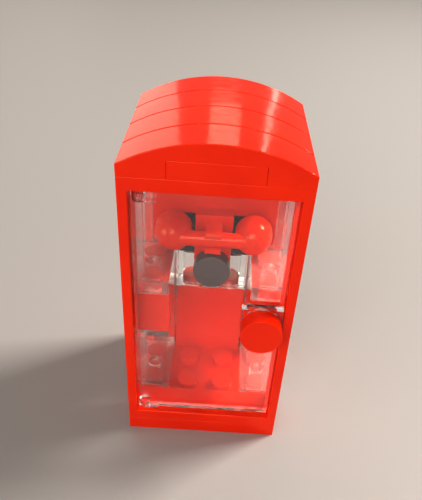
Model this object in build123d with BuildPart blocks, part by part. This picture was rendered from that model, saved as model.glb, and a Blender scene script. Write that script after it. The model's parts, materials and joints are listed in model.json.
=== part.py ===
from build123d import *
import os
from math import sqrt

# A toy telephone booth put together from interlocking building bricks.
# Millimetres. X points to the right, Y to the back and Z up. The origin is the
# middle of the base plate's underside, and the door is in the front, at -Y.

# ---------------------------------------------------------------- brick system
pitch = 8.0               # distance between neighbouring studs
side_gap = 0.1            # each piece stands this far inside its cells, on every side
plate_height = 3.2
plates_per_brick = 3
stud_diameter = 4.8
stud_height = 1.7
stud_clearance = 0.05     # between a stud and the walls, tubes and pins around it
socket_headroom = 0.5     # above a stud that stands in a plate's underside
tube_wall = 0.8
stud_bore = 3.2           # inside of a hollow stud
edge_radius = 0.12
stud_edge_radius = 0.15

# ---------------------------------------------------------------- booth
cells = 4                 # the booth is this many studs wide and deep
frame_bricks = 6          # height of the door frame and of the walls
lower_panel_bricks = 2
middle_bricks = 1         # the red brick between the clear panels
back_courses = 4          # corner bricks beside the tall, the window and the mount brick
jamb = 1.8
sill = 2.4
head = 2.4
doorway_edge_radius = 0.25

# ---------------------------------------------------------------- clear side panels
seat_gap = 0.03           # of air below a clear piece and on top of a clear panel
panel_wall = 1.5
panel_rib = 1.5           # thickness of the rib at each end
panel_rib_reach = 2.9     # how far the rib reaches in from the outer face
panel_top = 1.5

# ---------------------------------------------------------------- door
leaf_setback = 1.4        # from the frame's front to the leaf's front
leaf_thickness = 1.3
leaf_gap = 0.2            # all round the leaf
hinge_inset = 1.5         # from the jamb's inner face to the hinge axis
hinge_pin_diameter = 1.6
hinge_pin_length = 0.75   # from the leaf's lower and upper edge
hinge_clearance = 0.05
hinge_headroom = 0.2      # beyond the end of the upper pin
knuckle_diameter = 2.7
knuckle_height = 2.0
knuckle_block_length = 3.0
knuckle_bore_diameter = 1.5
knuckle_bore_floor = 0.8  # solid end of the knuckle that carries the pin
knuckle_bore_reach = 0.5  # how far the bore runs on past the knuckle
leaf_overhang = 1.25      # leaf that lies beyond the hinge axis
stop_reach = 0.8          # the stop on the right jamb that the closed leaf meets
stop_depth = 1.0
stop_clearance = 0.15
handle_pad_height = 1.7
handle_pad_wall = 1.2

# ---------------------------------------------------------------- telephone
round_tile_height = plate_height
clip_width = 3.3
clip_reach = 4.8          # from the wall plate's front to the tips of the clip
clip_half_height = 2.55
clip_axis_reach = 2.75    # from the wall plate's front to the axis of the bar
clip_mouth = 2.6
clip_corner_radius = 0.7
bar_diameter = 3.18
bar_clearance = 0.05
cup_gap = 0.5             # between a cup and the wall plate's side
cup_offset = 2.1          # from the axis of the bar to the middle of a cup's dome
cup_depth = 6.25
cup_rim_radius = 0.6
cup_dish_diameter = 5.0
cup_dish_depth = 0.4
bar_end_inset = 0.8       # the bar ends this far short of the middle of the cup

# ---------------------------------------------------------------- roof
arch_plates = 2           # height of a roof arch
arch_lip = 2.1            # upright face at each end of an arch
notch_clearance = 0.03    # between an arch and each side of the roof plate
pocket_headroom = 0.1     # above a stud that stands in a pocket

# ---------------------------------------------------------------- worked out
brick_height = plates_per_brick * plate_height
deck = plate_height - stud_height - socket_headroom
stud_radius = stud_diameter / 2
brick_wall = pitch / 2 - side_gap - stud_radius - stud_clearance
tube_radius = pitch / sqrt(2) - stud_radius - stud_clearance
pin_radius = pitch / 2 - stud_radius - stud_clearance
booth_half = cells * pitch / 2
booth_face = booth_half - side_gap
cell_width = pitch - 2 * side_gap
outer_cell = booth_half - pitch / 2
side_rows = cells - 2
pocket_depth = stud_height + pocket_headroom

wall_base = plate_height
middle_base = wall_base + lower_panel_bricks * brick_height
upper_base = middle_base + middle_bricks * brick_height
roof_base = wall_base + frame_bricks * brick_height
upper_panel_height = roof_base - upper_base
frame_height = roof_base - wall_base

leaf_front = booth_face - leaf_setback
leaf_back = leaf_front - leaf_thickness
hinge_y = -(leaf_front + leaf_back) / 2
hinge_x = -(booth_face - jamb - hinge_inset)
leaf_left = hinge_x - leaf_overhang
leaf_right = booth_face - jamb - leaf_gap
leaf_bottom = wall_base + sill + leaf_gap
leaf_top = roof_base - head - leaf_gap
handle_x = leaf_right - cell_width / 2
handle_z = (leaf_bottom + leaf_top) / 2

back_row_face = booth_half - pitch + side_gap
wall_plate_z = upper_base + plate_height
wall_plate_face = back_row_face - plate_height
dial_z = wall_plate_z - pitch / 2
bar_z = wall_plate_z + pitch / 2
bar_y = wall_plate_face - clip_axis_reach
cup_radius = cell_width / 2
cup_spread = cell_width / 2 + cup_gap + cup_radius
cup_front = bar_y + cup_offset - cup_radius

os.makedirs("parts", exist_ok=True)


def save(piece, name):
    """Label a finished piece and write it to its own file."""
    piece.part.label = name
    export_step(piece.part, f"parts/{name}.step")


def brick(x, y, base, columns, rows, height, grips=True):
    """A hollow brick or plate with studs on its deck and grips underneath."""
    seat = Plane(origin=(x, y, base))
    length = columns * pitch - 2 * side_gap
    width = rows * pitch - 2 * side_gap
    hollow = height - deck
    with BuildPart() as body:
        with BuildSketch(seat):
            Rectangle(length, width)
        extrude(amount=height)
        fillet(body.edges().filter_by(Axis.Z) + body.edges().group_by(Axis.Z)[-1], edge_radius)
        with BuildSketch(seat):
            Rectangle(length - 2 * brick_wall, width - 2 * brick_wall)
        extrude(amount=hollow, mode=Mode.SUBTRACT)
        with BuildSketch(seat.offset(height)):
            with GridLocations(pitch, pitch, columns, rows):
                Circle(stud_radius)
        extrude(amount=stud_height)
        fillet(body.edges().group_by(Axis.Z)[-1], stud_edge_radius)
        if grips and columns > 1 and rows > 1:
            with BuildSketch(seat):
                with GridLocations(pitch, pitch, columns - 1, rows - 1):
                    Circle(tube_radius)
                    Circle(tube_radius - tube_wall, mode=Mode.SUBTRACT)
            extrude(amount=hollow)
        elif grips and columns * rows > 1:
            with BuildSketch(seat):
                with GridLocations(pitch, pitch, max(columns - 1, 1), max(rows - 1, 1)):
                    Circle(pin_radius)
            extrude(amount=hollow)
    return body


def side_panel(side, base, height):
    """A clear wall panel: a thin outer wall between a plate-high foot and a thin top.

    side is 1 on the right and -1 on the left. The sketch's own +X points outwards.
    """
    foot = Plane(origin=(side * outer_cell, 0, base), x_dir=(side, 0, 0), z_dir=(0, 0, 1))
    seat = foot.offset(seat_gap)
    top = height - seat_gap
    length = side_rows * pitch - 2 * side_gap
    half = cell_width / 2
    with BuildPart() as body:
        with BuildSketch(seat):
            Rectangle(cell_width, length)
        extrude(amount=top - seat_gap)
        fillet(body.edges().filter_by(Axis.Z) + body.edges().group_by(Axis.Z)[-1], edge_radius)
        with BuildSketch(foot.offset(plate_height)):
            with Locations((-half, 0)):
                Rectangle(2 * half - panel_rib_reach, length, align=(Align.MIN, Align.CENTER))
                Rectangle(2 * half - panel_wall, length - 2 * panel_rib,
                          align=(Align.MIN, Align.CENTER))
        extrude(amount=height - plate_height - panel_top, mode=Mode.SUBTRACT)
        with BuildSketch(seat):
            Rectangle(cell_width - 2 * brick_wall, length - 2 * brick_wall)
        extrude(amount=plate_height - deck - seat_gap, mode=Mode.SUBTRACT)
        with BuildSketch(seat):
            with GridLocations(pitch, pitch, 1, side_rows - 1):
                Circle(pin_radius)
        extrude(amount=plate_height - deck - seat_gap)
        with BuildSketch(foot.offset(top)):
            with GridLocations(pitch, pitch, 1, side_rows):
                Circle(stud_radius)
        extrude(amount=stud_height + seat_gap)
        fillet(body.edges().group_by(Axis.Z)[-1], stud_edge_radius)
        with BuildSketch(foot.offset(height + stud_height)):
            with GridLocations(pitch, pitch, 1, side_rows):
                Circle(stud_bore / 2)
        extrude(amount=-(stud_height + panel_top), mode=Mode.SUBTRACT)
    return body


def roof_arch(y):
    """One curved roof piece, as wide as the booth and one cell deep."""
    crown = arch_plates * plate_height
    notch = pitch - side_gap + notch_clearance
    face = Plane.XZ.offset(-y + cell_width / 2)
    underside = Plane(origin=(0, y, roof_base))
    with BuildPart() as body:
        with BuildSketch(face):
            with BuildLine():
                Polyline((-booth_face, roof_base + arch_lip), (-booth_face, roof_base),
                         (-notch, roof_base), (-notch, roof_base + plate_height),
                         (notch, roof_base + plate_height), (notch, roof_base),
                         (booth_face, roof_base), (booth_face, roof_base + arch_lip))
                ThreePointArc((booth_face, roof_base + arch_lip), (0, roof_base + crown),
                              (-booth_face, roof_base + arch_lip))
            make_face()
        extrude(amount=-cell_width)
        rims = body.edges().filter_by(GeomType.CIRCLE)
        corners = body.edges().filter_by(Axis.Z).sort_by(Axis.X)
        fillet(rims + corners[:2] + corners[-2:], edge_radius)
        # pockets for the studs below each end, and for those of the roof plate
        with BuildSketch(underside):
            with Locations((-outer_cell, 0), (outer_cell, 0)):
                Rectangle(cell_width - 2 * brick_wall, cell_width - 2 * brick_wall)
        extrude(amount=pocket_depth, mode=Mode.SUBTRACT)
        with BuildSketch(underside.offset(plate_height)):
            Rectangle(pitch + cell_width - 2 * brick_wall, cell_width - 2 * brick_wall)
        extrude(amount=pocket_depth, mode=Mode.SUBTRACT)
    return body


def round_tile(x, z, seat_y):
    """A round tile that is pushed backwards onto a stud; seat_y is its back face."""
    back = Plane.XZ.offset(-seat_y)
    with BuildPart() as body:
        with BuildSketch(back):
            with Locations((x, z)):
                Circle(cell_width / 2)
        extrude(amount=round_tile_height)
        fillet(body.edges().group_by(Axis.Y)[0], edge_radius)
        with BuildSketch(back):
            with Locations((x, z)):
                Circle(stud_radius + stud_clearance)
        extrude(amount=pocket_depth, mode=Mode.SUBTRACT)
    return body


# ---------------------------------------------------------------- base and walls
save(brick(0, 0, 0, cells, cells, plate_height), "base_plate")

for side, hand in ((-1, "left"), (1, "right")):
    save(side_panel(side, wall_base, middle_base - wall_base), f"lower_side_panel_{hand}")
    save(brick(side * outer_cell, 0, middle_base, 1, side_rows, upper_base - middle_base),
         f"side_brick_{hand}")
    save(side_panel(side, upper_base, upper_panel_height), f"upper_side_panel_{hand}")
    for course in range(back_courses):
        save(brick(side * outer_cell, outer_cell, wall_base + course * brick_height,
                   1, 1, brick_height), f"back_corner_brick_{course + 1}_{hand}")

save(brick(0, outer_cell, wall_base, 2, 1, middle_base - wall_base), "back_tall_brick")
save(brick(0, outer_cell, middle_base + seat_gap, 2, 1, brick_height - seat_gap, grips=False),
     "window_brick")
top_course = upper_base + brick_height
save(brick(0, outer_cell, top_course, cells, 1, brick_height), "back_brick_lower")
save(brick(0, outer_cell, top_course + brick_height, cells, 1, brick_height), "back_brick_upper")

# ---------------------------------------------------------------- door frame
with BuildPart() as door_frame:
    frame_seat = Plane(origin=(0, -outer_cell, wall_base))
    with BuildSketch(frame_seat):
        Rectangle(2 * booth_face, cell_width)
    extrude(amount=frame_height)
    outer_edges = door_frame.edges().filter_by(Axis.Z) + door_frame.edges().group_by(Axis.Z)[-1]
    fillet(outer_edges, edge_radius)
    # the doorway, right through
    with BuildSketch(Plane.XZ.offset(booth_face)):
        with Locations((0, wall_base + sill)):
            Rectangle(2 * (booth_face - jamb), frame_height - sill - head,
                      align=(Align.CENTER, Align.MIN))
    extrude(amount=-cell_width, mode=Mode.SUBTRACT)
    rims = door_frame.edges().group_by(Axis.Y)[0]
    fillet(rims.filter_by(lambda rim: abs(rim.center().X) < booth_face - jamb / 2
                          and wall_base + sill / 2 < rim.center().Z < roof_base - head / 2),
           doorway_edge_radius)
    # the stop behind the leaf's free edge
    with BuildSketch(Plane.XY.offset(wall_base + sill)):
        with Locations((booth_face - jamb, -leaf_back + stop_clearance)):
            Rectangle(stop_reach, stop_depth, align=(Align.MAX, Align.MIN))
    extrude(amount=frame_height - sill - head)
    # the pocket that takes the base plate's front studs
    with BuildSketch(frame_seat):
        Rectangle(2 * (booth_face - brick_wall), cell_width - 2 * brick_wall)
    extrude(amount=pocket_depth, mode=Mode.SUBTRACT)
    with BuildSketch(frame_seat.offset(frame_height)):
        with GridLocations(pitch, pitch, cells, 1):
            Circle(stud_radius)
    extrude(amount=stud_height)
    fillet(door_frame.edges().group_by(Axis.Z)[-1], stud_edge_radius)
    # bores for the leaf's hinge pins: one through the sill, one up into the head
    with BuildSketch(Plane.XY.offset(wall_base + pocket_depth)):
        with Locations((hinge_x, hinge_y)):
            Circle(hinge_pin_diameter / 2 + hinge_clearance)
    extrude(amount=sill - pocket_depth, mode=Mode.SUBTRACT)
    with BuildSketch(Plane.XY.offset(roof_base - head)):
        with Locations((hinge_x, hinge_y)):
            Circle(hinge_pin_diameter / 2 + hinge_clearance)
    extrude(amount=hinge_pin_length - leaf_gap + hinge_headroom, mode=Mode.SUBTRACT)
save(door_frame, "door_frame")

# ---------------------------------------------------------------- door
with BuildPart() as door_leaf:
    with BuildSketch(Plane.XZ.offset(leaf_front)):
        with Locations((leaf_left, leaf_bottom)):
            Rectangle(leaf_right - leaf_left, leaf_top - leaf_bottom, align=(Align.MIN, Align.MIN))
    extrude(amount=-leaf_thickness)
    fillet(door_leaf.edges().filter_by(Axis.Y), edge_radius)
    # the square rim that the knob rests on, and the stud inside it that carries the knob
    with BuildSketch(Plane.XZ.offset(leaf_front)):
        with Locations((handle_x, handle_z)):
            Rectangle(cell_width, cell_width)
            Rectangle(cell_width - 2 * handle_pad_wall, cell_width - 2 * handle_pad_wall,
                      mode=Mode.SUBTRACT)
    extrude(amount=handle_pad_height)
    with BuildSketch(Plane.XZ.offset(leaf_front)):
        with Locations((handle_x, handle_z)):
            Circle(stud_radius)
    extrude(amount=handle_pad_height + stud_height)
    fillet(door_leaf.edges().group_by(Axis.Y)[0], stud_edge_radius)
    # at the bottom and at the top of the hinge side: a knuckle with its block, which lies
    # flush with the knuckle's front and the leaf's back, a bore and a hinge pin
    block_depth = (knuckle_diameter + leaf_thickness) / 2
    for leaf_edge, inwards in ((leaf_bottom, 1), (leaf_top, -1)):
        with BuildSketch(Plane.XY.offset(leaf_edge)):
            with Locations((hinge_x, hinge_y)):
                Circle(knuckle_diameter / 2)
            with Locations((hinge_x, -leaf_back)):
                Rectangle(knuckle_block_length, block_depth, align=(Align.MIN, Align.MAX))
        extrude(amount=inwards * knuckle_height)
        with BuildSketch(Plane.XY.offset(leaf_edge + inwards * knuckle_bore_floor)):
            with Locations((hinge_x, hinge_y)):
                Circle(knuckle_bore_diameter / 2)
        bore_length = knuckle_height - knuckle_bore_floor + knuckle_bore_reach
        extrude(amount=inwards * bore_length, mode=Mode.SUBTRACT)
        with BuildSketch(Plane.XY.offset(leaf_edge)):
            with Locations((hinge_x, hinge_y)):
                Circle(hinge_pin_diameter / 2)
        extrude(amount=-inwards * hinge_pin_length)
save(door_leaf, "door_leaf")

save(round_tile(handle_x, handle_z, -(leaf_front + handle_pad_height)), "door_knob")

# ---------------------------------------------------------------- telephone
with BuildPart() as phone_mount_brick:
    add(brick(0, outer_cell, upper_base, 2, 1, brick_height).part)
    # a hollow stud on the front face, which the wall plate is pushed onto
    with BuildSketch(Plane.XZ.offset(-back_row_face)):
        with Locations((0, wall_plate_z)):
            Circle(stud_radius)
            Circle(stud_bore / 2, mode=Mode.SUBTRACT)
    extrude(amount=stud_height)
save(phone_mount_brick, "phone_mount_brick")

with BuildPart() as phone_wall_plate:
    plate_back = Plane.XZ.offset(-back_row_face)
    plate_front = plate_back.offset(plate_height)
    with BuildSketch(plate_back):
        with Locations((0, wall_plate_z)):
            Rectangle(cell_width, pitch + cell_width)
    extrude(amount=plate_height)
    rim = phone_wall_plate.edges().group_by(Axis.Y)[0]
    fillet(phone_wall_plate.edges().filter_by(Axis.Y) + rim, edge_radius)
    with BuildSketch(plate_back):
        with Locations((0, wall_plate_z)):
            Rectangle(cell_width - 2 * brick_wall, pitch + cell_width - 2 * brick_wall)
    extrude(amount=plate_height - deck, mode=Mode.SUBTRACT)
    # the pin that fills the mount brick's hollow stud
    with BuildSketch(plate_back):
        with Locations((0, wall_plate_z)):
            Circle(stud_bore / 2 - stud_clearance)
    extrude(amount=plate_height - deck)
    # the stud for the dial
    with BuildSketch(plate_front):
        with Locations((0, dial_z)):
            Circle(stud_radius)
    extrude(amount=stud_height)
    # the clip for the handset: two arms round a bore that is open to the front
    with BuildSketch(Plane.YZ.offset(-clip_width / 2)):
        with Locations((wall_plate_face, bar_z)):
            Rectangle(clip_reach, 2 * clip_half_height, align=(Align.MAX, Align.CENTER))
        fillet(vertices().group_by(Axis.X)[0], clip_corner_radius)
        with Locations((bar_y, bar_z)):
            Circle(bar_diameter / 2 + bar_clearance, mode=Mode.SUBTRACT)
            Rectangle(clip_reach, clip_mouth, align=(Align.MAX, Align.CENTER),
                      mode=Mode.SUBTRACT)
    extrude(amount=clip_width)
save(phone_wall_plate, "phone_wall_plate")

save(round_tile(0, dial_z, wall_plate_face), "phone_dial")

with BuildPart() as phone_handset:
    with BuildSketch(Plane.YZ.offset(-(cup_spread - bar_end_inset))):
        with Locations((bar_y, bar_z)):
            Circle(bar_diameter / 2)
    extrude(amount=2 * (cup_spread - bar_end_inset))
    for side in (-1, 1):
        cup_axis = Axis((side * cup_spread, 0, bar_z), (0, 1, 0))
        dome_y = bar_y + cup_offset
        cup_back = cup_front + cup_depth
        with BuildSketch(Plane.XY.offset(bar_z)):
            with BuildLine():
                middle = side * cup_spread
                rim_x = middle + cup_radius
                dome = ThreePointArc(
                    (middle, cup_front),
                    (middle + cup_radius / sqrt(2), dome_y - cup_radius / sqrt(2)),
                    (rim_x, dome_y))
                Polyline(dome @ 1, (rim_x, cup_back - cup_rim_radius))
                RadiusArc((rim_x, cup_back - cup_rim_radius),
                          (rim_x - cup_rim_radius, cup_back), -cup_rim_radius)
                dish_x = middle + cup_dish_diameter / 2
                Polyline((rim_x - cup_rim_radius, cup_back), (dish_x, cup_back),
                         (dish_x, cup_back - cup_dish_depth), (middle, cup_back - cup_dish_depth),
                         dome @ 0)
            make_face()
        revolve(axis=cup_axis)
save(phone_handset, "phone_handset")

# ---------------------------------------------------------------- roof
save(brick(0, 0, roof_base, 2, cells, plate_height), "roof_plate")

for row, order in enumerate(("first", "second", "third", "fourth")):
    save(roof_arch(-outer_cell + row * pitch), f"roof_arch_{order}")
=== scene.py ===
import json
import math
import bpy
from mathutils import Matrix, Vector


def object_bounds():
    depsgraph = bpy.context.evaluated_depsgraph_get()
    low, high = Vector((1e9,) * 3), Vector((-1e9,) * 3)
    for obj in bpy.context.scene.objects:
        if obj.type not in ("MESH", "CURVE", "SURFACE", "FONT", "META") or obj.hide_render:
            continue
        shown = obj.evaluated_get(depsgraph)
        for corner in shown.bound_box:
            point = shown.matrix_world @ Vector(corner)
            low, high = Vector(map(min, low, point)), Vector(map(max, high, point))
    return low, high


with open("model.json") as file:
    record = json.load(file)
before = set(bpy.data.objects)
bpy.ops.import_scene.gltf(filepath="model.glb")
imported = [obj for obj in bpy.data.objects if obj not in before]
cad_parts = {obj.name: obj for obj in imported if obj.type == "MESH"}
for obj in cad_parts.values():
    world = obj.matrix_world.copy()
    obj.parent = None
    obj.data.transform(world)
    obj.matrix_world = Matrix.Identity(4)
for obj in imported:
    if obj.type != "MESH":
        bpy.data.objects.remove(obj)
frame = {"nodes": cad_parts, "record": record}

# A toy telephone booth of interlocking building bricks. Every piece of it is a CAD node, so this
# script gives the nodes their finishes and sets the floor, the lamps and the camera. Metres.

CAD_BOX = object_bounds()
LEFT, RIGHT = CAD_BOX[0][0], CAD_BOX[1][0]
TOP = CAD_BOX[1][2]

# ---------------------------------------------------------------- camera
CAMERA_PLACE = Vector((0.0005, -0.09745, 0.10257))
CAMERA_AIM = Vector((0.0019, 0.0, 0.0237))
CAMERA_ROLL = math.radians(4.24)
CAMERA_LENS = 41.25
CAMERA_SENSOR = 36.0
CAMERA_SHIFT = (-0.014, 0.108)
CAMERA_CLIP = (0.005, 12.0)

# ---------------------------------------------------------------- colours, linear
RED_DEEP = (0.80, 0.020, 0.0006)
RED_BRIGHT = (0.88, 0.028, 0.0008)
RED_GLINT = (1.0, 0.86, 0.60)
BLACK_DEEP = (0.012, 0.012, 0.014)
BLACK_BRIGHT = (0.020, 0.020, 0.022)
GREY_DEEP = (0.095, 0.088, 0.092)
GREY_BRIGHT = (0.130, 0.118, 0.122)
CLEAR_BODY = (0.99, 0.995, 0.995)
CLEAR_SHADE = (0.82, 0.82, 0.82)
FLOOR_PAINT = (0.375, 0.366, 0.362)
ROOM_LIGHT = (0.92, 0.85, 0.78)

# ---------------------------------------------------------------- moulded plastic
PLASTIC_IOR = 1.54
PLASTIC_REFLECTION = 0.40
GLOSS = 0.11                   # roughness of the red and the black pieces
TILE_GLOSS = 0.20              # roughness of the grey dial
GLOSS_SPREAD = 0.06            # by how much the rubbed places differ from it
SCRATCH_ROUGHNESS = 0.10

# patterns: cycles per metre, layers of finer detail, and how strong the finer ones are
SHADE_NOISE = (90.0, 3.0, 0.5)
RUB_NOISE = (420.0, 4.0, 0.6)
WAVE_NOISE = (160.0, 1.0, 0.5)
CLEAR_WAVE_NOISE = (120.0, 1.0, 0.5)
RIPPLE_NOISE = (700.0, 2.0, 0.5)
DRAWN_NOISE = (1.0, 1.0, 0.5)  # drawn out by the stretch below
NOISE_MIDDLE = (0.3, 0.7)      # where most of a noise's values lie

# scratches: how far a noise is drawn out, how it is tipped, and how much of it is a scratch
SCRATCH_STRETCH = (60.0, 5200.0, 5200.0)
SCRATCH_TIP = (0.4, 0.2)
SCRATCH_EDGES = (0.62, 0.74)
CROSSED_TURNS = (0.5, 2.1)
CLEAR_TURN = 1.2

# bumps: strength, and depth in metres
WAVE_BUMP = (0.10, 0.0006)
SCRATCH_BUMP = (0.05, 0.00008)
CLEAR_WAVE_BUMP = (0.04, 0.0005)
MOULDED_RIPPLE = (0.10, 0.0003)
POLISHED_RIPPLE = (0.03, 0.0003)

# ---------------------------------------------------------------- clear plastic
CLEAR_IOR = 1.49
MOULDED_CLARITY = 0.94         # share of the light that passes; the rest is scattered
POLISHED_CLARITY = 0.988
MOULDED_BLUR = 0.015
POLISHED_BLUR = 0.003
SCRATCH_BLUR_RATIO = 3.0
POLISHED_NODES = ("door_leaf", "window_brick")

# ---------------------------------------------------------------- stage
FLOOR_HALF = 4.0               # from the middle to an edge
FLOOR_ROUGHNESS = 0.6
ROOM_STRENGTH = 0.40
DISPLAY_GAMMA = 0.8
LIGHT_BOUNCES = 40
GLOSSY_BOUNCES = 12
LAMP_AIM_HEIGHT = 0.03
BOOTH_MIDDLE = ((LEFT + RIGHT) / 2, 0.0, LAMP_AIM_HEIGHT)
ROOF_MIDDLE = ((LEFT + RIGHT) / 2, 0.0, TOP)

# name, place, what it faces, width and height, power in watts, colour
LAMPS = (
    ("key", (0.44, 0.20, 0.57), BOOTH_MIDDLE, (0.20, 0.16), 7.2, (1.0, 0.93, 0.85)),
    ("front_fill", (-0.20, -0.80, 0.57), BOOTH_MIDDLE, (0.60, 0.60), 5.0, (1.0, 0.93, 0.86)),
    ("side_fill", (-0.68, -0.44, 0.21), BOOTH_MIDDLE, (0.40, 0.40), 2.0, (1.0, 0.94, 0.88)),
    ("window", (0.012, 0.50, 0.31), ROOF_MIDDLE, (0.10, 0.12), 0.07, (1.0, 0.85, 0.70)),
    ("left_window", (-0.20, 0.46, 0.19), ROOF_MIDDLE, (0.16, 0.26), 0.17, (1.0, 0.88, 0.76)),
    ("right_window", (0.135, 0.48, 0.22), ROOF_MIDDLE, (0.012, 0.24), 0.03, (1.0, 0.90, 0.80)),
)


def add_camera():
    """The camera that stands in front and looks down into the booth."""
    data = bpy.data.cameras.new("camera")
    data.lens = CAMERA_LENS
    data.sensor_width = CAMERA_SENSOR
    data.shift_x, data.shift_y = CAMERA_SHIFT
    data.clip_start, data.clip_end = CAMERA_CLIP
    camera = bpy.data.objects.new("camera", data)
    look = (CAMERA_AIM - CAMERA_PLACE).to_track_quat("-Z", "Y").to_matrix().to_4x4()
    camera.matrix_world = (Matrix.Translation(CAMERA_PLACE) @ look
                           @ Matrix.Rotation(CAMERA_ROLL, 4, "Z"))
    bpy.context.scene.collection.objects.link(camera)
    bpy.context.scene.camera = camera


# ---------------------------------------------------------------- node helpers
def new_material(name):
    """An empty node material, its tree, and the helper that adds a node to it."""
    material = bpy.data.materials.new(name)
    material.use_nodes = True
    tree = material.node_tree
    tree.nodes.clear()

    def add(kind, **settings):
        node = tree.nodes.new("ShaderNode" + kind)
        for key, value in settings.items():
            if hasattr(node, key):
                setattr(node, key, value)
            else:
                node.inputs[key.replace("_", " ")].default_value = value
        return node

    return material, tree, add


def object_noise(tree, add, coordinates, pattern):
    """A noise over the piece's own coordinates."""
    scale, detail, roughness = pattern
    noise = add("TexNoise", Scale=scale, Detail=detail, Roughness=roughness)
    tree.links.new(coordinates, noise.inputs["Vector"])
    return noise.outputs["Fac"]


def spread(tree, add, value, low, high, useful=NOISE_MIDDLE):
    """Maps the useful part of a noise onto low to high."""
    ramp = add("MapRange", From_Min=useful[0], From_Max=useful[1], To_Min=low, To_Max=high)
    tree.links.new(value, ramp.inputs["Value"])
    return ramp.outputs["Result"]


def scratches(tree, add, coordinates, turn):
    """Fine scratches: a noise drawn out along one direction."""
    mapping = add("Mapping", Rotation=(*SCRATCH_TIP, turn), Scale=SCRATCH_STRETCH)
    tree.links.new(coordinates, mapping.inputs["Vector"])
    drawn = object_noise(tree, add, mapping.outputs["Vector"], DRAWN_NOISE)
    return spread(tree, add, drawn, 0.0, 1.0, SCRATCH_EDGES)


def bump(tree, add, height, size, below=None, inwards=False):
    """A bump in the surface, laid over the one below it."""
    strength, depth = size
    node = add("Bump", Strength=strength, Distance=depth, invert=inwards)
    tree.links.new(height, node.inputs["Height"])
    if below is not None:
        tree.links.new(below, node.inputs["Normal"])
    return node.outputs["Normal"]


# ---------------------------------------------------------------- finishes
def moulded_plastic(name, deep, bright, gloss=GLOSS, glint=(1.0, 1.0, 1.0)):
    """Glossy moulded plastic: slight shade changes, soft waves in the reflections, scratches.

    deep and bright are the ends of its colour; glint tints what it reflects.
    """
    material, tree, add = new_material(name)
    coordinates = add("TexCoord").outputs["Object"]

    colour = add("Mix", data_type="RGBA")
    colour.inputs["A"].default_value = (*deep, 1.0)
    colour.inputs["B"].default_value = (*bright, 1.0)
    shade = object_noise(tree, add, coordinates, SHADE_NOISE)
    tree.links.new(spread(tree, add, shade, 0.0, 1.0), colour.inputs["Factor"])

    crossed = add("Math", operation="MAXIMUM")
    for socket, turn in zip(crossed.inputs, CROSSED_TURNS):
        tree.links.new(scratches(tree, add, coordinates, turn), socket)
    scratch = crossed.outputs["Value"]

    rubbed = object_noise(tree, add, coordinates, RUB_NOISE)
    rough = add("Math", operation="MULTIPLY_ADD")
    tree.links.new(scratch, rough.inputs[0])
    rough.inputs[1].default_value = SCRATCH_ROUGHNESS
    tree.links.new(spread(tree, add, rubbed, gloss - GLOSS_SPREAD, gloss + GLOSS_SPREAD),
                   rough.inputs[2])

    waves = object_noise(tree, add, coordinates, WAVE_NOISE)
    surface = bump(tree, add, waves, WAVE_BUMP)
    surface = bump(tree, add, scratch, SCRATCH_BUMP, below=surface, inwards=True)

    shader = add("BsdfPrincipled", IOR=PLASTIC_IOR)
    shader.inputs["Specular IOR Level"].default_value = PLASTIC_REFLECTION
    shader.inputs["Specular Tint"].default_value = (*glint, 1.0)
    tree.links.new(colour.outputs["Result"], shader.inputs["Base Color"])
    tree.links.new(rough.outputs["Value"], shader.inputs["Roughness"])
    tree.links.new(surface, shader.inputs["Normal"])
    tree.links.new(shader.outputs["BSDF"], add("OutputMaterial").inputs["Surface"])
    return material


def clear_plastic(name, clarity, blur, ripple):
    """Clear moulded plastic that lets lamps through, with scratches, waves and ripples."""
    material, tree, add = new_material(name)
    coordinates = add("TexCoord").outputs["Object"]

    rough = add("Math", operation="MULTIPLY_ADD")
    tree.links.new(scratches(tree, add, coordinates, CLEAR_TURN), rough.inputs[0])
    rough.inputs[1].default_value = SCRATCH_BLUR_RATIO * blur
    rough.inputs[2].default_value = blur

    waves = object_noise(tree, add, coordinates, CLEAR_WAVE_NOISE)
    surface = bump(tree, add, waves, CLEAR_WAVE_BUMP)
    ripples = object_noise(tree, add, coordinates, RIPPLE_NOISE)
    surface = bump(tree, add, ripples, ripple, below=surface)

    glass = add("BsdfPrincipled", IOR=CLEAR_IOR)
    glass.inputs["Base Color"].default_value = (*CLEAR_BODY, 1.0)
    glass.inputs["Transmission Weight"].default_value = clarity
    tree.links.new(rough.outputs["Value"], glass.inputs["Roughness"])
    tree.links.new(surface, glass.inputs["Normal"])

    # a lamp's light goes straight through, a little weaker
    passing = add("BsdfTransparent", Color=(*CLEAR_SHADE, 1.0))
    mix = add("MixShader")
    tree.links.new(add("LightPath").outputs["Is Shadow Ray"], mix.inputs["Fac"])
    tree.links.new(glass.outputs["BSDF"], mix.inputs[1])
    tree.links.new(passing.outputs["BSDF"], mix.inputs[2])
    tree.links.new(mix.outputs["Shader"], add("OutputMaterial").inputs["Surface"])
    return material


def finish_pieces():
    """Gives every CAD piece the finish of its slot, and the door and the window a polish."""
    finishes = {
        "red_plastic": moulded_plastic("red_moulded_plastic", RED_DEEP, RED_BRIGHT,
                                       glint=RED_GLINT),
        "black_plastic": moulded_plastic("black_moulded_plastic", BLACK_DEEP, BLACK_BRIGHT),
        "dark_grey_plastic": moulded_plastic("dark_grey_moulded_plastic", GREY_DEEP,
                                             GREY_BRIGHT, gloss=TILE_GLOSS),
        "clear_plastic": clear_plastic("clear_moulded_plastic", MOULDED_CLARITY,
                                       MOULDED_BLUR, MOULDED_RIPPLE),
    }
    polished = clear_plastic("clear_polished_plastic", POLISHED_CLARITY, POLISHED_BLUR,
                             POLISHED_RIPPLE)
    for part in frame["record"]["subparts"]:
        name = part["node"]
        finish = polished if name in POLISHED_NODES else finishes[part["material_slot"]]
        slots = frame["nodes"][name].data.materials
        slots.clear()
        slots.append(finish)


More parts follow.
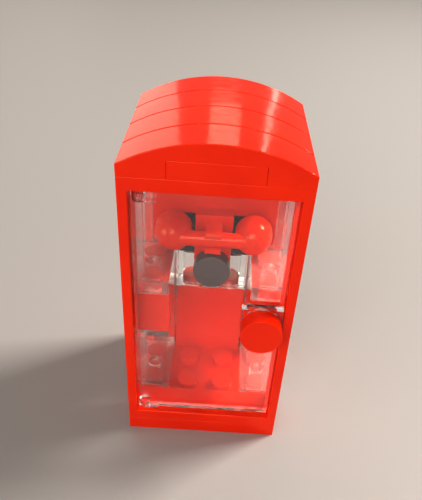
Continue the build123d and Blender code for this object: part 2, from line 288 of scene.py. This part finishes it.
# ---------------------------------------------------------------- stage
def plain_floor():
    """A pale floor that runs on far behind the booth."""
    mesh = bpy.data.meshes.new("floor")
    corners = [(-FLOOR_HALF, -FLOOR_HALF, 0), (FLOOR_HALF, -FLOOR_HALF, 0),
               (FLOOR_HALF, FLOOR_HALF, 0), (-FLOOR_HALF, FLOOR_HALF, 0)]
    mesh.from_pydata(corners, [], [(0, 1, 2, 3)])
    floor = bpy.data.objects.new("floor", mesh)
    material, tree, add = new_material("floor_paint")
    shader = add("BsdfPrincipled", Roughness=FLOOR_ROUGHNESS, Base_Color=(*FLOOR_PAINT, 1.0))
    tree.links.new(shader.outputs["BSDF"], add("OutputMaterial").inputs["Surface"])
    mesh.materials.append(material)
    bpy.context.scene.collection.objects.link(floor)


def area_light(name, place, aim, size, power, colour):
    """A soft rectangular lamp that faces aim."""
    data = bpy.data.lights.new(name, "AREA")
    data.shape = "RECTANGLE"
    data.size, data.size_y = size
    data.energy = power
    data.color = colour
    lamp = bpy.data.objects.new(name, data)
    lamp.location = place
    lamp.rotation_euler = (Vector(aim) - Vector(place)).to_track_quat("-Z", "Y").to_euler()
    bpy.context.scene.collection.objects.link(lamp)


def studio():
    """Soft lamps at the upper right, in front and at the left, and windows behind the roof."""
    for lamp in LAMPS:
        area_light(*lamp)
    room = bpy.data.worlds.new("studio")
    room.use_nodes = True
    background = room.node_tree.nodes["Background"]
    background.inputs["Color"].default_value = (*ROOM_LIGHT, 1.0)
    background.inputs["Strength"].default_value = ROOM_STRENGTH
    scene = bpy.context.scene
    scene.world = room
    scene.view_settings.view_transform = "Standard"
    scene.view_settings.gamma = DISPLAY_GAMMA


def let_light_through_clear_pieces():
    """Enough bounces for light that crosses many clear walls, or they would look black."""
    cycles = bpy.context.scene.cycles
    cycles.max_bounces = LIGHT_BOUNCES
    cycles.transmission_bounces = LIGHT_BOUNCES
    cycles.transparent_max_bounces = LIGHT_BOUNCES
    cycles.glossy_bounces = GLOSSY_BOUNCES


add_camera()
finish_pieces()
plain_floor()
studio()
let_light_through_clear_pieces()
